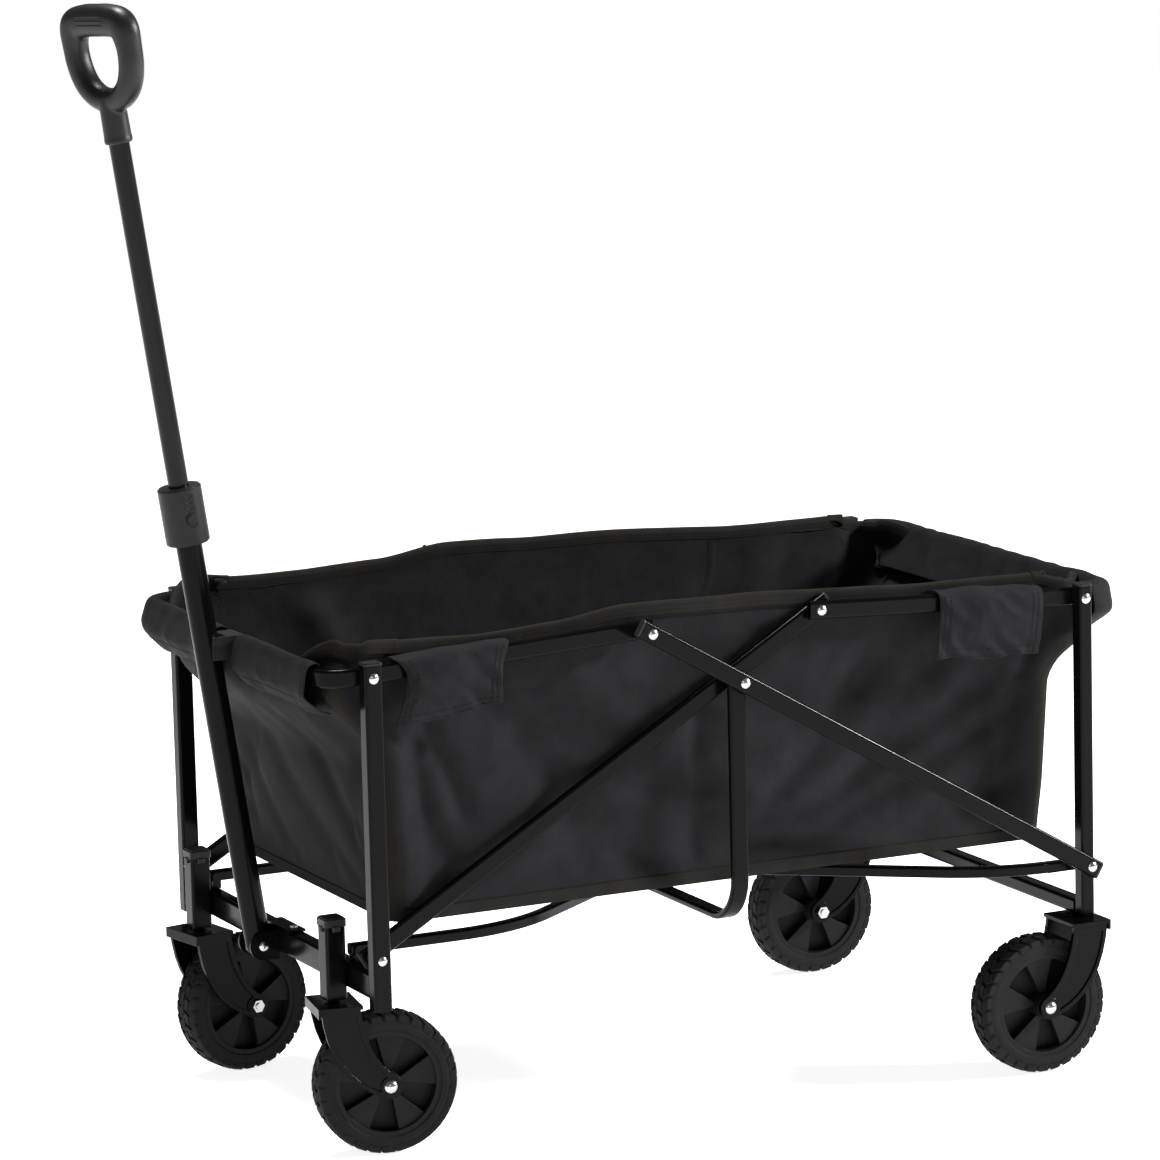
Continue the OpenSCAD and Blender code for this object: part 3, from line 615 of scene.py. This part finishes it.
fold_with_tub(hem_tape())
for corner, side in (("rear_left", "left"), ("rear_right", "rear"), ("front_right", "right"),
                     ("front_left", "front")):
    first = ring_place(side, 1.0)
    picked = [(first + j) % len(RING) for j in range(0, 6)]
    fold_with_tub(upright_seam(f"corner_binding_{corner}", picked, 0.0016, 0.004))
for side, share in (("left", 0.76), ("right", 0.24), ("left", 0.012), ("right", 0.988)):
    first = ring_place(side, share)
    label = f"wall_seam_{side}_{round(share * 100)}"
    fold_with_tub(upright_seam(label, [first, first + 1, first + 2], -0.0022, 0.004))


# ------------------------------------------------------------------ sleeves and flaps over the bows

def rail_z(x):
    """Height of the rails' middle line at the distance x from midway between the posts."""
    knee_z, knee_x = 0.5408, 0.108
    return RAIL_Z + (HALF - abs(x)) * (knee_z - RAIL_Z) / (HALF - knee_x)


def spline_point(near, u):
    """The point at the share u between the middle two of four knots."""
    return tuple(
        0.5 * (2 * b + (c - a) * u + (2 * a - 5 * b + 4 * c - d) * u ** 2
               + (3 * b - a - 3 * c + d) * u ** 3)
        for a, b, c, d in zip(*near))


def smooth_section(knots, count):
    """A rounded line of count points through (outward, up) knots."""
    line = []
    last = len(knots) - 1
    for i in range(count):
        t = i / (count - 1) * last
        k = min(int(t), last - 1)
        near = [knots[max(0, min(last, k + j))] for j in (-1, 0, 1, 2)]
        line.append(spline_point(near, t - k))
    return line


def side_flap(name, x0, x1, side, drop, cut, body, seed):
    """A flap of the tub over a side rail.

    cut moves its two edges along the rail: the first two values at mid height, the last two at the foot.
    """
    cols, rows = 60, 40
    points, uvs = [], []
    for c in range(cols):
        t = c / (cols - 1)
        towards_post = t if x0 > 0 else 1 - t
        lower = drop + 0.009 * towards_post * (x0 < 0) + 0.0035 * noise.noise(Vector((t * 3.1, seed, 1)))
        section = smooth_section([
            (-0.0235, 0.0085), (-0.0170, 0.0120), (-0.0095, 0.0136), (-0.002, 0.0142), (0.0050, 0.0128),
            (0.0082, 0.0070), (0.0088, -0.006), (0.0098, -0.020), (0.0104, -0.6 * lower - 0.008),
            (0.0088, -lower)], rows)
        run, prev = 0.0, None
        for k, (o, h) in enumerate(section):
            hang = smooth(k, 15, rows - 1)
            edge = cut[0] * (1 - t) + cut[1] * t
            along_rail = edge * math.sin(math.pi * hang) + (cut[2] * (1 - t) + cut[3] * t) * hang
            x = x0 + (x1 - x0) * t + along_rail
            crease = 1 - 2 * abs(noise.noise(Vector((x * 34 + h * 30, h * 22 - x * 9, seed))))
            soft = noise.noise(Vector((x * 16, h * 13, seed + 4)))
            puff = 0.0050 * math.sin(math.pi * clamp(hang)) * math.sin(math.pi * t) ** 0.5
            out = o + puff + hang * (0.0048 * soft + 0.0034 * crease) + 0.0010 * crease
            lift = 0.0026 * noise.noise(Vector((x * 25, 3, seed))) * (1 - hang)
            p = at(x, side * (RAIL_Y + out), rail_z(x) + h + lift)
            run += 0 if prev is None else (p - prev).length
            prev = p
            points.append(p)
            uvs.append((x, run))
    flap = make(name, points, grid_faces(cols, rows), CLOTH, uvs)
    lift = Vector((0, side * 0.0014, 0))
    lines = []
    for inset in (3, 6, cols - 4, cols - 7):
        lines.append([points[inset * rows + r] + lift for r in range(18, rows - 1)])
    for r in (rows - 2, rows - 4):
        lines.append([points[c * rows + r] + lift for c in range(3, cols - 3)])
    thicken(flap, 0.0016, 1)
    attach(flap, body)
    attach(stitches(name + "_stitches", lines), body)


for side, label in ((-1, "left"), (1, "right")):
    side_flap(f"front_flap_{label}", -0.396, -0.263, side, 0.050, (0.014, -0.003, 0.000, -0.013), "front_bow",
              2.0 + side)
    side_flap(f"rear_flap_{label}", 0.2485, 0.378, side, 0.061, (0.004, 0.002, -0.006, -0.005), "rear_bow",
              5.0 + side)


STRAIGHT = RAIL_Y - BEND                        # half of a bow's crosspiece, up to its bends
ROUND = BEND * math.pi / 2                      # length of one bend


def bow_place(end, u):
    """A point of a bow's middle line, u metres along it from the middle, and the way out from it."""
    side = math.copysign(1, u)
    v = abs(u)
    turn = clamp((v - STRAIGHT) / BEND, 0, math.pi / 2)
    rest = max(0.0, v - STRAIGHT - ROUND)
    x = HALF + BOW - BEND + BEND * math.cos(turn) - rest
    y = min(v, STRAIGHT) + BEND * math.sin(turn)
    z = RAIL_Z - (x - HALF) * 0.0498
    return Vector((end * x, side * y, z)), Vector((end * math.cos(turn), side * math.sin(turn), 0))


def end_sleeve(name, end, u0, u1, drop, body, seed):
    """Cloth wrapped over the end of a bow and sewn back to the tub under it."""
    cols, rows = 90, 44
    points, uvs = [], []
    for c in range(cols):
        t = c / (cols - 1)
        u = u0 + (u1 - u0) * t
        place, out_way = bow_place(end, u)
        bend = smooth(abs(u), STRAIGHT - 0.02, STRAIGHT + 0.03)
        loose = 0.5 + 0.5 * noise.noise(Vector((u * 9, seed, 0)))
        low = drop + 0.006 * noise.noise(Vector((u * 11, seed, 0))) - 0.006 * bend
        section = smooth_section([
            (-0.030 - 0.012 * bend, -0.034), (-0.019 - 0.008 * bend, -0.014), (-0.0120, 0.0020),
            (-0.0068, 0.0118 + 0.002 * loose), (0.0010, 0.0135 + 0.002 * loose),
            (0.0078, 0.0090 + 0.002 * loose),
            (0.0100 + 0.002 * loose, 0.000), (0.0105 + 0.004 * loose, -0.014), (0.0080, -0.7 * low),
            (-0.004 - 0.010 * bend, -low - 0.004), (-0.014 - 0.016 * bend, -low - 0.008)], rows)
        run, prev = 0.0, None
        edge = smooth(min(t, 1 - t), 0, 0.05)
        for k, (o, h) in enumerate(section):
            top = math.exp(-((k - 17) / 9) ** 2)
            hang = smooth(k, 20, 34)
            crease = 1 - 2 * abs(noise.noise(Vector((u * 26 + h * 18, h * 20 - u * 12, seed))))
            sag = noise.noise(Vector((u * 15 - h * 9, h * 12, seed + 2)))
            out = o + (0.0026 * hang + 0.0012 * top) * crease + 0.0030 * hang * sag
            up = h + (0.0012 * crease + 0.0016 * sag) * top * edge
            q = place + out_way * (out + 0.0008) + Vector((0, 0, up))
            p = at(*q)
            run += 0 if prev is None else (p - prev).length
            prev = p
            points.append(p)
            uvs.append((u, run))
    sleeve = make(name, points, grid_faces(cols, rows), CLOTH, uvs)
    away = Vector((end * 0.0014, 0, 0))
    seam = int(rows * 0.80)
    lines = [[points[c * rows + seam] + away for c in range(2, cols - 2)]]
    for inset in (3, cols - 4):
        lines.append([points[inset * rows + r] + away for r in range(24, seam)])
    thicken(sleeve, 0.0016, 1)
    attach(sleeve, body)
    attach(stitches(name + "_stitches", lines), body)


end_sleeve("front_sleeve_left", -1, -STRAIGHT - 0.006, -0.030, 0.034, "front_bow", 1.0)
end_sleeve("front_sleeve_right", -1, 0.030, STRAIGHT + ROUND - 0.002, 0.034, "front_bow", 8.0)
end_sleeve("rear_sleeve", 1, -STRAIGHT - ROUND + 0.002, STRAIGHT + ROUND - 0.002, 0.036, "rear_bow", 12.0)


# ------------------------------------------------------------------ tyres

def tyre_piece(name, node, centre, turn, body):
    """A wide tyre with zigzag tread blocks; drawn about +Y and turned about Z by turn."""
    half = TYRE_HALF
    base_r = WHEEL_R - 0.0022
    profile = [(RIM_R, -half + 0.0010), (RIM_R + 0.0010, -half), (RIM_R + 0.006, -half - 0.0002),
               (base_r - 0.007, -half + 0.0004), (base_r - 0.003, -half + 0.0016),
               (base_r - 0.0006, -half + 0.0042),
               (base_r, -half + 0.008), (base_r + 0.0003, 0.0)]
    profile += [(r, -y) for r, y in reversed(profile[:-1])]
    steps = 120
    points, uvs = [], []
    for i in range(steps):
        a = 2 * math.pi * i / steps
        for r, y in profile:
            points.append(Vector((r * math.cos(a), y, r * math.sin(a))))
            uvs.append((a * RIM_R, y))
    n = len(profile)
    faces = []
    for i in range(steps):
        j = (i + 1) % steps
        for k in range(n - 1):
            faces.append((i * n + k, j * n + k, j * n + k + 1, i * n + k + 1))

    def block(outline, top_r, bottom_r):
        start = len(points)
        count = len(outline)
        for r, grow in ((bottom_r, 1.0), (top_r - 0.0004, 0.98), (top_r, 0.90)):
            cy = sum(y for _, y in outline) / count
            ca = sum(a for a, _ in outline) / count
            for a, y in outline:
                aa, yy = ca + (a - ca) * grow, cy + (y - cy) * grow
                drop = 0.0028 * smooth(abs(yy), 0.011, half + 0.001)
                points.append(Vector(((r - drop) * math.cos(aa), yy, (r - drop) * math.sin(aa))))
                uvs.append((aa * RIM_R, yy))
        for ring in range(2):
            for k in range(count):
                m = (k + 1) % count
                faces.append((start + ring * count + k, start + ring * count + m,
                              start + (ring + 1) * count + m, start + (ring + 1) * count + k))
        faces.append(tuple(start + 2 * count + k for k in range(count)))

    pitch = 2 * math.pi / 30
    for i in range(30):
        a = i * pitch
        for sgn in (-1, 1):
            shift = 0 if sgn < 0 else pitch / 2
            w = pitch * 0.74
            inner = [(a + shift, 0.0006 * sgn), (a + shift + w, 0.0006 * sgn),
                     (a + shift + w + 0.05, 0.0085 * sgn), (a + shift + 0.05, 0.0085 * sgn)]
            outer = [(a + shift + 0.052, 0.0098 * sgn), (a + shift + w + 0.052, 0.0098 * sgn),
                     (a + shift + w - 0.03, (half + 0.0001) * sgn), (a + shift - 0.03, (half + 0.0001) * sgn)]
            block(inner, WHEEL_R, base_r - 0.001)
            block(outer, WHEEL_R, base_r - 0.004)
    piece = make(name, points, faces, TYRE, uvs)
    bevel = piece.modifiers.new("edges", "BEVEL")
    bevel.width = 0.0004
    bevel.segments = 1
    bevel.limit_method = "ANGLE"
    bevel.angle_limit = math.radians(40)
    apply_modifiers(piece)
    piece.data.polygons.foreach_set("use_smooth", [False] * len(piece.data.polygons))
    piece.matrix_world = Matrix.Translation(centre) @ Matrix.Rotation(turn, 4, "Z")
    bpy.context.view_layer.update()
    piece.data.transform(piece.matrix_world)
    piece.matrix_world = Matrix.Identity(4)
    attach(piece, body)
    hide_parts(node)
    return piece


joints = {j["name"]: j for j in frame["joints"]}
for where in ("rear_wheel_left", "rear_wheel_right", "front_wheel_left", "front_wheel_right"):
    spin = joints[where + "_spin"]
    axis = Vector(spin["axis"])
    tyre_piece(where + "_tread", where.replace("wheel", "tyre"), Vector(spin["pos_m"]),
               math.atan2(-axis.x, axis.y), where)


# ------------------------------------------------------------------ grip

pitch_joint = joints["handle_pitch"]
slide = joints["handle_slide"]
PIVOT = Vector(pitch_joint["pos_m"])
UP = Vector(slide["axis"]).normalized()
GRIP_TURN = math.radians(18)


def handle_matrix(turned=True):
    """Axes of the handle: z up the tube, x forward-aft, y across, with the grip's own turn."""
    z = UP
    y = Vector((0, 1, 0))
    x = y.cross(z).normalized()
    m = Matrix((x, y, z)).transposed().to_4x4()
    m.translation = PIVOT
    return m @ Matrix.Rotation(GRIP_TURN, 4, "Z") if turned else m


def closed_curve(knots, count):
    """A rounded closed line of count points through (across, up) knots, with the outward normal at each."""
    line = []
    n = len(knots)
    for i in range(count):
        t = i / count * n
        k, u = int(t), t - int(t)
        near = [knots[(k + j) % n] for j in (-1, 0, 1, 2)]
        line.append(Vector(spline_point(near, u)))
    normals = []
    for i in range(count):
        step = (line[(i + 1) % count] - line[i - 1]).normalized()
        normals.append(Vector((step.y, -step.x)))
    return line, normals


# (across, up) from the handle's pivot: the right half of the loop's middle line, then its neck's outline
GRIP_RIGHT = [(0.0, 0.9290), (0.0190, 0.9330), (0.0345, 0.9460), (0.0430, 0.9670), (0.0440, 0.9910),
              (0.0385, 1.0088), (0.0200, 1.0136)]
TOP_BAR_Z = 1.0140
NECK = [(0.0118, 0.8835), (0.0146, 0.8838), (0.0152, 0.8850), (0.0152, 0.8885), (0.0147, 0.8900),
        (0.0145, 0.905), (0.0143, 0.917), (0.0138, 0.928), (0.0115, 0.936), (0.0070, 0.940)]


def build_grip():
    """A D-shaped loop of round section with a flat top bar, melted into its neck."""
    steps, ring = 96, 24
    left = [(-y, z) for y, z in reversed(GRIP_RIGHT[1:])]
    line, normals = closed_curve(GRIP_RIGHT + [(0.0, TOP_BAR_Z)] + left, steps)
    points, faces = [], []
    for c, n in zip(line, normals):
        high = smooth(c.y, 0.980, 1.011)
        width, depth = 0.0130 + 0.0044 * high, 0.0130 + 0.0010 * high
        for k in range(ring):
            b = 2 * math.pi * k / ring
            o = width * math.copysign(abs(math.cos(b)) ** 0.88, math.cos(b))
            d = depth * math.copysign(abs(math.sin(b)) ** 0.88, math.sin(b))
            points.append(Vector((d, c.x + o * n.x, c.y + o * n.y)))
    for i in range(steps):
        j = (i + 1) % steps
        for k in range(ring):
            m = (k + 1) % ring
            faces.append((i * ring + k, i * ring + m, j * ring + m, j * ring + k))
    start = len(points)
    for r, z in NECK:
        for k in range(ring):
            b = 2 * math.pi * k / ring
            points.append(Vector((r * math.cos(b), r * math.sin(b), z)))
    for f in grid_faces(len(NECK), ring, closed=True):
        faces.append(tuple(start + i for i in f))
    faces.append(tuple(start + k for k in range(ring))[::-1])
    faces.append(tuple(start + (len(NECK) - 1) * ring + k for k in range(ring)))
    return melt("handle_grip_loop", points, faces)


def melt(name, points, faces):
    """One skin round overlapping closed shapes, with the seams between them softened."""
    rough = bpy.data.meshes.new("rough_shape")
    rough.from_pydata([tuple(p) for p in points], [], faces)
    shape = bpy.data.objects.new("rough_shape", rough)
    bpy.context.scene.collection.objects.link(shape)
    remesh = shape.modifiers.new("skin", "REMESH")
    remesh.mode = "VOXEL"
    remesh.voxel_size = 0.0013
    soften = shape.modifiers.new("soften", "SMOOTH")
    soften.factor = 0.5
    soften.iterations = 14
    apply_modifiers(shape)
    skin = [v.co.copy() for v in shape.data.vertices]
    quads = [tuple(q.vertices) for q in shape.data.polygons]
    bpy.data.objects.remove(shape)
    piece = make(name, skin, quads, GRIP, [(v.x + v.y, v.z) for v in skin])
    piece.data.transform(handle_matrix())
    return piece


def build_ribs():
    """Finger ribs that run along the front of the grip's top bar."""
    points, faces, uvs = [], [], []
    rows, cols = 15, 8
    for place in range(6):
        lean = math.radians(-34 + 19 * place)
        base = len(points)
        for r in range(rows):
            q = 2 * r / (rows - 1) - 1
            size = 0.00095 * math.sqrt(max(0.02, 1 - q ** 6))
            for c in range(cols):
                b = 2 * math.pi * c / cols
                away = 0.0142 + size * math.cos(b)
                aside = size * math.sin(b)
                points.append(Vector((
                    -away * math.cos(lean) + aside * math.sin(lean), 0.0235 * q,
                    TOP_BAR_Z + away * math.sin(lean) + aside * math.cos(lean))))
                uvs.append((0.0235 * q, b * 0.001))
        for f in grid_faces(rows, cols, closed=True):
            faces.append(tuple(base + i for i in f))
    ribs = make("grip_ribs", points, faces, GRIP, uvs)
    ribs.data.transform(handle_matrix())
    return ribs


grip = build_grip()
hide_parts("handle_grip")
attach(grip, "handle_top")
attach(build_ribs(), "handle_top")


# ------------------------------------------------------------------ collar marks

def build_marks():
    """Raised arrow strokes above the push button, in the collar's recess."""
    points, faces, uvs = [], [], []
    for i in range(3):
        z = 0.4895 + i * 0.0058
        outline = [(-0.0052, 0.0032), (0, -0.0008), (0.0052, 0.0032),
                   (0.0052, 0.0012), (0, -0.0030), (-0.0052, 0.0012)]
        base = len(points)
        for y, grow in ((-0.0222, 1.0), (-0.0231, 0.9)):
            for x, h in outline:
                points.append(Vector((x * grow, y, z + h * grow)))
                uvs.append((x, h))
        n = len(outline)
        for k in range(n):
            m = (k + 1) % n
            faces.append((base + k, base + m, base + n + m, base + n + k))
        faces.append((base + n, base + n + 1, base + n + 4, base + n + 5))
        faces.append((base + n + 1, base + n + 2, base + n + 3, base + n + 4))
    marks = make("collar_arrows", points, faces, PLASTIC, uvs, flat=True)
    marks.data.transform(handle_matrix(turned=False))
    return marks


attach(build_marks(), "handle_base")


# ------------------------------------------------------------------ camera, floor and light

def camera():
    """The camera that the wagon is seen from."""
    yaw, pitch, roll = -0.44381, -0.17247, -0.02479
    focal_px = 5546.4
    ahead = Vector((-math.sin(yaw) * math.cos(pitch), math.cos(yaw) * math.cos(pitch), math.sin(pitch)))
    right = ahead.cross(Vector((0, 0, 1))).normalized()
    up = right.cross(ahead)
    right_r = right * math.cos(roll) + up * math.sin(roll)
    up_r = up * math.cos(roll) - right * math.sin(roll)
    data = bpy.data.cameras.new("camera")
    data.sensor_width = 36
    data.lens = 36 * focal_px / 1160
    data.clip_end = 60
    obj = bpy.data.objects.new("camera", data)
    obj.matrix_world = Matrix.Translation(at(-2.63957, -5.4338, 1.60022)) @ Matrix(
        (right_r, up_r, -ahead)).transposed().to_4x4()
    bpy.context.scene.collection.objects.link(obj)
    bpy.context.scene.camera = obj


def studio():
    """A white floor that glows so that it stays white, under a dim surround and three soft boxes."""
    size = 60
    pts = [Vector((sx * size, sy * size, 0)) for sx, sy in ((-1, -1), (1, -1), (1, 1), (-1, 1))]
    mat, tree, shader = new_material("studio_floor")
    soft = object_noise(tree, 1.5, 2)
    tree.links.new(tint(tree, soft, (0.93, 0.93, 0.93), (0.96, 0.96, 0.96)), shader.inputs["Base Color"])
    shader.inputs["Roughness"].default_value = 0.9
    shader.inputs["Specular IOR Level"].default_value = 0.1
    shader.inputs["Emission Color"].default_value = (1, 1, 1, 1)
    shader.inputs["Emission Strength"].default_value = 0.86
    make("studio_floor", pts, [(0, 1, 2, 3)], mat)
    world = bpy.data.worlds.new("studio")
    world.use_nodes = True
    background = world.node_tree.nodes["Background"]
    background.inputs["Color"].default_value = (1, 1, 1, 1)
    background.inputs["Strength"].default_value = 0.13
    bpy.context.scene.world = world
    lights = (("key", (4.9, -2.3, 2.8), 520, 0.7), ("top", (-0.6, 0.6, 3.6), 150, 1.0),
              ("side", (-2.0, -4.0, 2.0), 10, 0.8))
    for name, place, power, width in lights:
        data = bpy.data.lights.new(name, "AREA")
        data.energy = power
        data.size = width
        lamp = bpy.data.objects.new(name, data)
        lamp.location = at(*place)
        lamp.rotation_euler = (at(0, 0, 0.4) - lamp.location).to_track_quat("-Z", "Y").to_euler()
        bpy.context.scene.collection.objects.link(lamp)


camera()
studio()
bpy.context.scene.view_settings.view_transform = "Standard"
